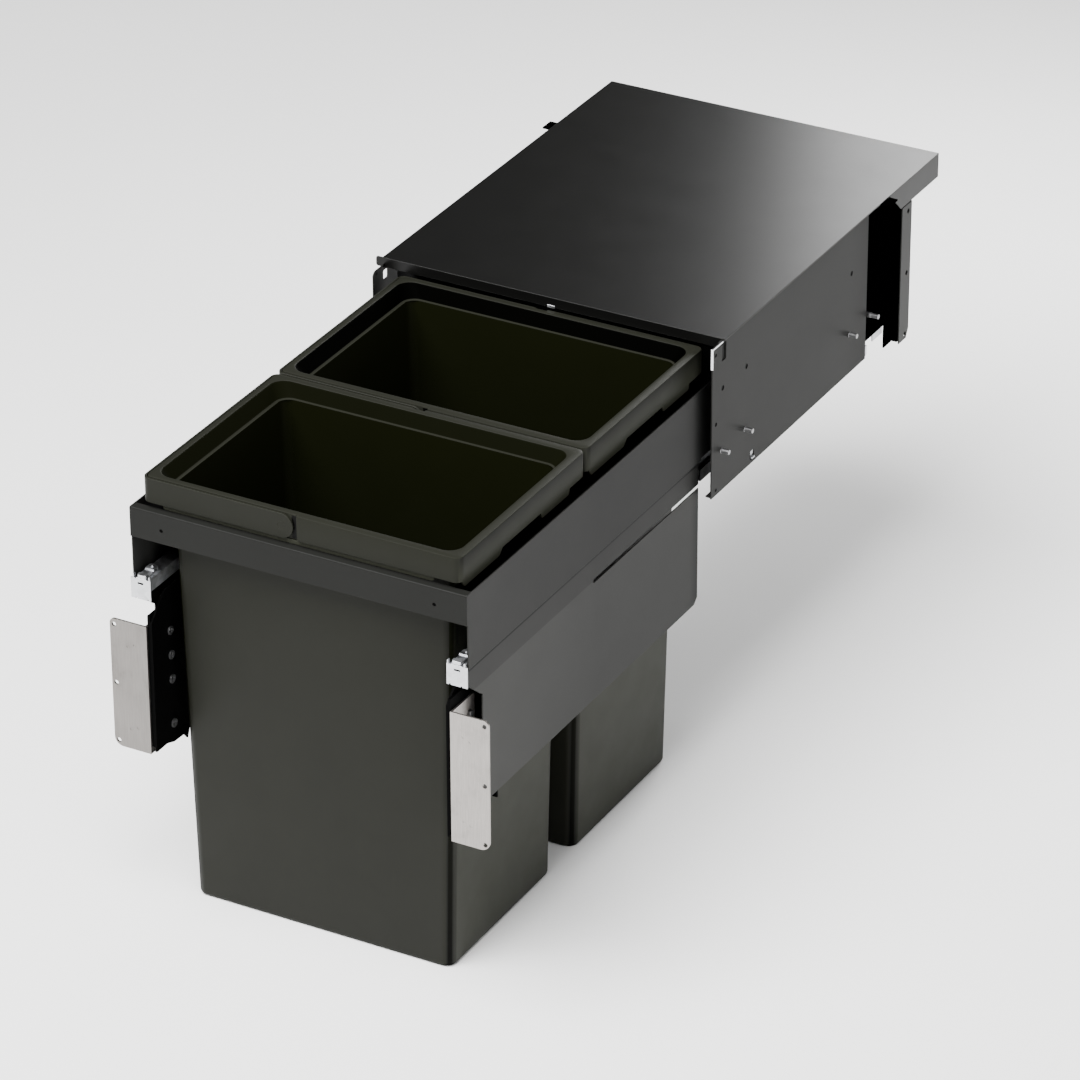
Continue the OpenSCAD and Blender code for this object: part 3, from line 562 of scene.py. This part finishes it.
class BinPlan:
    """Levels and sections of one bin, worked out from its CAD box and the sizes. A section is
    its left, right, front, back, height and corner radius."""

    def __init__(self, node):
        self.sizes = bpy.context.scene.bin_frame_bin
        low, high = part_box(node)
        self.half = high.x
        self.front, self.back = low.y, high.y
        self.bottom, self.top = low.z, high.z
        self.ledge = self.top - self.sizes.band
        # Painted shade: the rear bin's mouth lies in the cover's shadow, so its band is painted far
        # darker
        self.mouth_shade_tone = 1.0 if node == "bin_front" else 0.08

    def rim(self, inset, z):
        """Section of the rim where it steps back beside the strap."""
        b = self.sizes
        return (-self.half + b.side_recess + inset, self.half - 0.4 * MM - inset,
                self.front + b.front_recess + inset, self.back - b.front_recess - inset,
                z, b.rim_radius - b.front_recess - inset * 0.7)

    def full_rim(self, inset, z):
        """Section of the rim where it stands out full size."""
        return (-self.half + inset, self.half - inset, self.front + inset, self.back - inset,
                z, self.sizes.rim_radius - inset)

    def mouth(self, grow, z):
        """Section of the mouth, which flares from its ledge up to the rim."""
        b = self.sizes
        up = min(max((z - self.top + b.band) / b.band, 0), 1)
        side = b.mouth_inset - up * b.flare_side - grow
        end = b.mouth_end - up * b.flare_end - grow
        return (-self.half + side, self.half - side, self.front + end, self.back - end,
                z, b.mouth_radius + grow)

    def body(self, inset, z, radius=None):
        """Section of the tapered body, inset from its outer face."""
        b = self.sizes
        share_down = (self.ledge - z) / (self.ledge - self.bottom)
        side = b.taper_side * share_down + inset
        end = b.taper_end * share_down + inset
        return (-self.half + b.mouth_inset + side, self.half - b.mouth_inset - side,
                self.front + b.body_front + end, self.back - b.body_back - end,
                z, b.body_radius - inset if radius is None else radius)


def bin_shell(plan):
    """The bin's wall as one closed skin, from the outer bottom over the rim to the inner bottom."""
    b = plan.sizes
    top, bottom = plan.top, plan.bottom
    under = top - b.rim_plate
    skirt = top - b.skirt
    ledge = plan.ledge
    floor = bottom + b.wall
    r, f = b.edge, b.foot_radius
    inner = f + 3 * MM
    return [
        plan.body(f, bottom, 9 * MM),
        plan.body(ROUND * f, bottom + ROUND * f),
        plan.body(0, bottom + f),
        plan.body(0, skirt - 30 * MM),
        plan.body(0, ledge - b.wall),
        plan.mouth(b.wall, ledge - b.wall + 0.2 * MM),
        plan.mouth(b.wall, under),
        plan.rim(b.skirt_wall, under),
        plan.rim(b.skirt_wall, skirt + CHAMFER),
        plan.rim(b.skirt_wall - CHAMFER, skirt),
        plan.rim(CHAMFER, skirt),
        plan.rim(0, skirt + CHAMFER),
        plan.rim(0, top - r),
        plan.rim(ROUND * r, top - ROUND * r),
        plan.rim(r, top),
        plan.mouth(r, top),
        plan.mouth(ROUND * r, top - ROUND * r),
        plan.mouth(0, top - r),
        plan.mouth(0, ledge + r),
        plan.mouth(-ROUND * r, ledge + ROUND * r),
        plan.mouth(-0.9 * r, ledge),
        plan.body(b.wall - CHAMFER, ledge),
        plan.body(b.wall, ledge - 1.2 * MM),
        plan.body(b.wall, floor + inner, b.body_radius - b.wall),
        plan.body(b.wall + ROUND * inner, floor + ROUND * inner, 11 * MM),
        plan.body(b.wall + inner, floor, 12 * MM),
    ]


def proud_rim(plan):
    """The part of the rim and skirt that stands out full size, to the right of the handle ends.
    It laps the shell's rim by a hair, so that their faces don't fight."""
    b = plan.sizes
    lap = 0.02 * MM
    top = plan.top + lap
    skirt = plan.top - b.skirt - lap
    under = top - 1.2 * MM
    r = b.edge
    hidden = b.front_recess + 1 * MM
    return [
        plan.full_rim(0, skirt + CHAMFER),
        plan.full_rim(0, top - r),
        plan.full_rim(ROUND * r, top - ROUND * r),
        plan.full_rim(r, top),
        plan.full_rim(6 * MM, top),
        plan.full_rim(6 * MM, under),
        plan.full_rim(hidden, under),
        plan.full_rim(hidden, skirt),
        plan.full_rim(CHAMFER, skirt),
    ]


def add_proud_rim(bm, plan):
    """Cuts the full-size rim off where the handle ends begin and joins it to the bin."""
    shell = bmesh.new()
    loft(shell, proud_rim(plan), capped=False)
    cut = bmesh.ops.bisect_plane(shell, geom=shell.verts[:] + shell.edges[:] + shell.faces[:],
                                 plane_co=(-2 * MM, 0, 0), plane_no=(1, 0, 0), clear_inner=True)
    open_edges = [e for e in cut["geom_cut"] if isinstance(e, bmesh.types.BMEdge)]
    bmesh.ops.holes_fill(shell, edges=open_edges, sides=0)
    joined = bpy.data.meshes.new("proud_rim")
    shell.to_mesh(joined)
    shell.free()
    bm.from_mesh(joined)
    bpy.data.meshes.remove(joined)


def add_pivots(bm, plan, node):
    """Two pins, front and rear, on which the strap turns."""
    low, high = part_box(node.replace("bin_", "bin_handle_"))
    pivot_z = (low.z + high.z) / 2
    for y, along in ((plan.front + 0.2 * MM, 3 * MM), (plan.back - 0.2 * MM, -3 * MM)):
        pin(bm, (-18 * MM, y, pivot_z), along, 7 * MM)


def build_bin(node):
    """One bin in three materials: its outside, and its inside and the band inside its mouth, which
    are darker copies of the plastic as painted shade.
    """
    plan = BinPlan(node)
    look = bpy.context.scene.bin_frame_finishes
    bm = bmesh.new()
    loft(bm, bin_shell(plan))
    bmesh.ops.remove_doubles(bm, verts=bm.verts, dist=1e-6)
    add_proud_rim(bm, plan)
    add_lip(bm, plan)
    add_side_feet(bm, plan)
    add_pivots(bm, plan, node)
    add_gap_shadow_plates(bm, plan)
    bmesh.ops.recalc_face_normals(bm, faces=bm.faces)
    mark_painted_shade_and_light(bm, plan)
    share_out_shaded_materials(bm, plan)
    piece = make_piece(bm, node + "_moulded", node, 40)
    # Painted shade: the inside and the mouth band wear darker copies of the plastic, the band
    # nearly without gloss
    piece.data.materials.append(bpy.data.materials.get("bin_inside_finish")
                                or moulded("bin_inside_finish", look.inside, 0.6, gloss=0.04))
    # Painted highlight: a thin light band where the ledge's top catches the light
    ledge = (plan.ledge, tint(look.plastic, 1.2))
    piece.data.materials.append(moulded(node + "_mouth_finish", tint(look.mouth, plan.mouth_shade_tone),
                                        0.6, gloss=0.005, ledge=ledge))
    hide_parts(node)


def within(section, x, y):
    """Whether a point lies inside the rectangle of a section."""
    left, right, front, back = section[:4]
    return left < x < right and front < y < back


def mark_painted_shade_and_light(bm, plan):
    """Marks the points where the plastic gets painted shade and those where it gets painted light.
    """
    b = plan.sizes
    shade = bm.verts.layers.float.new(SHADE)
    lift = bm.verts.layers.float.new(PAINTED_LIGHT)
    skirt = plan.top - b.skirt
    for v in bm.verts:
        x, y, z = v.co
        from_end = min(abs(y - plan.front), abs(y - plan.back))
        # Painted shade on the bin's inner bottom, into which the inner walls darken
        if 1 * MM < z - plan.bottom < 14 * MM and within(plan.body(0.6 * b.wall, z), x, y):
            v[shade] = 0.95
        # Painted shadow in the gap between the strap's ends and the proud rim
        if -8.1 * MM < x < -2.1 * MM and from_end < b.front_recess + 2 * MM:
            v[shade] = 1.0
        # Painted light on the lip below the front skirt
        if z < skirt - 0.5 * MM and y < plan.front + b.front_recess + 0.2 * MM:
            v[lift] = 1.0
        # Painted shade on the right side of the skirt, and painted light on its lower edge and feet
        if x > plan.half - 1.5 * MM and skirt + 2 * MM < z < plan.top - 0.4 * b.edge:
            v[shade] = 0.5
        if x > plan.half - 3 * MM and z < skirt + 1.5 * MM:
            v[lift] = 0.6
        # Painted light on the right side of the body
        if z < plan.ledge - 2 * MM and abs(x - plan.body(0, z)[1]) < 0.1 * MM:
            v[lift] = 0.55


def share_out_shaded_materials(bm, plan):
    """Gives the faces inside the bin the second material and the band above the ledge the third,
    both darker copies of the plastic for painted shade.
    """
    b = plan.sizes
    for face in bm.faces:
        x, y, z = face.calc_center_median()
        if (plan.bottom + 1 * MM < z < plan.ledge - 0.1 * MM
                and within(plan.body(0.6 * b.wall, z), x, y)):
            face.material_index = 1
        if (plan.ledge + 0.1 * MM < z < plan.top - 0.3 * MM
                and within(plan.mouth(0.3 * MM, z), x, y)):
            face.material_index = 2


def upright_plate(bm, left, right, y, low, high, deep, rounded=(), radius=0.0):
    """Plate across the bin, from one Y as deep as given."""
    plate(bm, [(left, y, high), (left, y, low), (right, y, low), (right, y, high)],
          (0, deep, 0), rounded, radius)


def add_lip(bm, plan):
    """Lip that hangs below the front skirt between its two round corners, and the set-back neck
    that carries it."""
    b = plan.sizes
    skirt = plan.top - b.skirt
    y = plan.front + b.front_recess + 0.05 * MM
    low, high = skirt - b.lip_drop, skirt - 0.9 * MM
    left = -plan.half + b.mouth_inset + 3 * MM
    right = plan.half - b.mouth_inset - 10 * MM
    upright_plate(bm, left, right, y, low, high, 1.9 * MM, (1, 2), 2.5 * MM)
    upright_plate(bm, left, right, y + 1.2 * MM, high - 2 * MM, skirt + 1 * MM, 1.2 * MM)


def add_gap_shadow_plates(bm, plan):
    """Plates in the narrow gap between the strap's end and the proud rim, front and rear, which
    carry the gap's painted shadow.
    """
    b = plan.sizes
    low, high = plan.top - b.skirt + 0.5 * MM, plan.top - 1.2 * MM
    for y, deep in ((plan.front + b.front_recess - 0.1 * MM, 1 * MM),
                    (plan.back - b.front_recess + 0.1 * MM, -1 * MM)):
        upright_plate(bm, -8 * MM, -2.2 * MM, y, low, high, deep)


def add_side_feet(bm, plan):
    """Low feet along the right side of the skirt, with slanted ends."""
    b = plan.sizes
    x = plan.half - 0.05 * MM
    high = plan.top - b.skirt + 1 * MM
    low = plan.top - b.skirt - 5.5 * MM
    # Start and end from the bin's front edge and the lean of both ends, in millimetres
    feet = ((8, 70, 4, 6), (146, 196, 2, 1))
    for start, end, lean_start, lean_end in feet:
        front, back = plan.front + start * MM, plan.front + end * MM
        plate(bm, [(x, front - lean_start * MM, high), (x, front, low), (x, back, low),
                   (x, back + lean_end * MM, high)], (-2.2 * MM, 0, 0), (1, 2), 1.5 * MM)


# Operators

class BINFRAME_OT_housing(bpy.types.Operator):
    """Rounds the edges of the cover, side sheets, channels and plates and gives them their coats"""
    bl_idname = "binframe.housing"
    bl_label = "Housing"

    def execute(self, context):
        edges = context.scene.bin_frame_edges
        edged_copy("top_cover", edges.fold)
        for node in ("cover_stiffener", "cover_clip", "edge_clip"):
            edged_copy(node, edges.sheet)
        edged_pairs(("housing_side", "rear_channel", "mount_plate"), edges.sheet)
        return {"FINISHED"}


class BINFRAME_OT_slider(bpy.types.Operator):
    """Rounds the edges of the front rail, frame sides, rear rail and bin carriers"""
    bl_idname = "binframe.slider"
    bl_label = "Pull-out frame"

    def execute(self, context):
        edges = context.scene.bin_frame_edges
        edged_copy("front_rail", edges.fold)
        edged_copy("rear_rail", edges.sheet)
        edged_pairs(("frame_side", "bin_carrier"), edges.sheet)
        return {"FINISHED"}


class BINFRAME_OT_runners(bpy.types.Operator):
    """Galvanised runner members, their front ends, release levers, balls and cages"""
    bl_idname = "binframe.runners"
    bl_label = "Runners"

    def execute(self, context):
        edged_pairs(("cabinet_rail", "drawer_rail", "middle_runner", "runner_front",
                     "release_lever"), context.scene.bin_frame_edges.sheet)
        for side in SIDES:
            for part in ("lower_cage", "upper_cage", "lower_balls", "upper_balls"):
                dress(f"{part}_{side}")
        return {"FINISHED"}


class BINFRAME_OT_door_brackets(bpy.types.Operator):
    """Black brackets and plated door plates"""
    bl_idname = "binframe.door_brackets"
    bl_label = "Door brackets"

    def execute(self, context):
        edged_pairs(("door_bracket", "door_plate"), context.scene.bin_frame_edges.sheet)
        return {"FINISHED"}


class BINFRAME_OT_fasteners(bpy.types.Operator):
    """Fixing pegs, bracket screws and rivets"""
    bl_idname = "binframe.fasteners"
    bl_label = "Fasteners"

    def execute(self, context):
        edges = context.scene.bin_frame_edges
        for node in ("cabinet_pegs", "front_rail_rivets", "door_bracket_screws"):
            edged_copy(node, edges.sheet)
        return {"FINISHED"}


class BINFRAME_OT_bins(bpy.types.Operator):
    """Two moulded bins with rounded rims, flared mouths, ledges, lips and feet"""
    bl_idname = "binframe.bins"
    bl_label = "Bins"

    def execute(self, context):
        for node in ("bin_front", "bin_rear"):
            build_bin(node)
        return {"FINISHED"}


class BINFRAME_OT_handles(bpy.types.Operator):
    """Carrying straps with softened edges"""
    bl_idname = "binframe.handles"
    bl_label = "Handles"

    def execute(self, context):
        for node in ("bin_handle_front", "bin_handle_rear"):
            edged_copy(node, context.scene.bin_frame_edges.strap)
        return {"FINISHED"}


def soft_light(name, place, aim, size, power):
    """Large rectangular soft light at a place, aimed at a point."""
    data = bpy.data.lights.new(name, "AREA")
    data.shape = "RECTANGLE"
    data.size, data.size_y = size
    data.energy = power
    lamp = bpy.data.objects.new(name, data)
    bpy.context.scene.collection.objects.link(lamp)
    lamp.location = place
    lamp.rotation_euler = (Vector(aim) - Vector(place)).to_track_quat("-Z", "Y").to_euler()


def pale_floor(tone):
    """Plain matt floor just under the bins."""
    low = min(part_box("bin_front")[0].z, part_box("bin_rear")[0].z)
    bm = bmesh.new()
    bmesh.ops.create_grid(bm, x_segments=2, y_segments=2, size=30)
    bmesh.ops.translate(bm, vec=(0, 0, low - 0.5 * MM), verts=bm.verts)
    mesh = bpy.data.meshes.new("floor")
    bm.to_mesh(mesh)
    bm.free()
    floor = bpy.data.objects.new("floor", mesh)
    bpy.context.scene.collection.objects.link(floor)
    s = Shader("floor_finish")
    clouds = s.spread(s.noise(3.0), 0.0, 1.0)
    s.set(Base_Color=s.mix(clouds, tint(tone, 0.99), tint(tone, 1.01)), Roughness=0.8,
          Specular_IOR_Level=0.2)
    mesh.materials.append(s.material)


def even_light(strength):
    """Weak white light from all around."""
    world = bpy.data.worlds.new("studio")
    world.use_nodes = True
    background = world.node_tree.nodes["Background"]
    background.inputs["Color"].default_value = (1, 1, 1, 1)
    background.inputs["Strength"].default_value = strength
    bpy.context.scene.world = world


def photo_camera(lens):
    """Camera at the photograph's place and angle."""
    data = bpy.data.cameras.new("camera")
    data.sensor_width = 36
    data.lens = lens
    data.clip_end = 100
    camera = bpy.data.objects.new("camera", data)
    bpy.context.scene.collection.objects.link(camera)
    turn = Matrix(CAMERA_AXES).transposed().to_4x4()
    camera.matrix_world = Matrix.Translation(CAMERA_PLACE) @ turn
    bpy.context.scene.camera = camera


class BINFRAME_OT_stage(bpy.types.Operator):
    """Pale floor, soft studio lights and the camera"""
    bl_idname = "binframe.stage"
    bl_label = "Stage"

    def execute(self, context):
        studio = context.scene.bin_frame_studio
        pale_floor(tuple(studio.floor))
        even_light(studio.sky)
        for light in LIGHTS:
            soft_light(*light)
        photo_camera(studio.lens)
        return {"FINISHED"}


OPERATORS = (BINFRAME_OT_housing, BINFRAME_OT_slider, BINFRAME_OT_runners,
             BINFRAME_OT_door_brackets, BINFRAME_OT_fasteners, BINFRAME_OT_bins,
             BINFRAME_OT_handles, BINFRAME_OT_stage)
GROUPS = {"bin_frame_bin": BinSizes, "bin_frame_edges": EdgeSizes, "bin_frame_finishes": Finishes,
          "bin_frame_studio": Studio}


class BINFRAME_PT_sidebar(bpy.types.Panel):
    """Lists the operators and the settings of each group"""
    bl_idname = "BINFRAME_PT_sidebar"
    bl_label = "Pull-out bin frame"
    bl_space_type = "VIEW_3D"
    bl_region_type = "UI"
    bl_category = "Bin Frame"

    def draw(self, context):
        layout = self.layout
        for operator in OPERATORS:
            layout.operator(operator.bl_idname)
        for key, group in GROUPS.items():
            box = layout.box()
            box.label(text=group.__name__)
            for field in group.__annotations__:
                box.prop(getattr(context.scene, key), field)


def register():
    for item in (*GROUPS.values(), *OPERATORS, BINFRAME_PT_sidebar):
        bpy.utils.register_class(item)
    for key, group in GROUPS.items():
        setattr(bpy.types.Scene, key, PointerProperty(type=group))


def unregister():
    for key in GROUPS:
        delattr(bpy.types.Scene, key)
    for item in reversed((*GROUPS.values(), *OPERATORS, BINFRAME_PT_sidebar)):
        bpy.utils.unregister_class(item)


def main():
    register()
    bpy.ops.binframe.housing()
    bpy.ops.binframe.slider()
    bpy.ops.binframe.runners()
    bpy.ops.binframe.door_brackets()
    bpy.ops.binframe.fasteners()
    bpy.ops.binframe.bins()
    bpy.ops.binframe.handles()
    bpy.ops.binframe.stage()


if __name__ == "__main__":
    main()
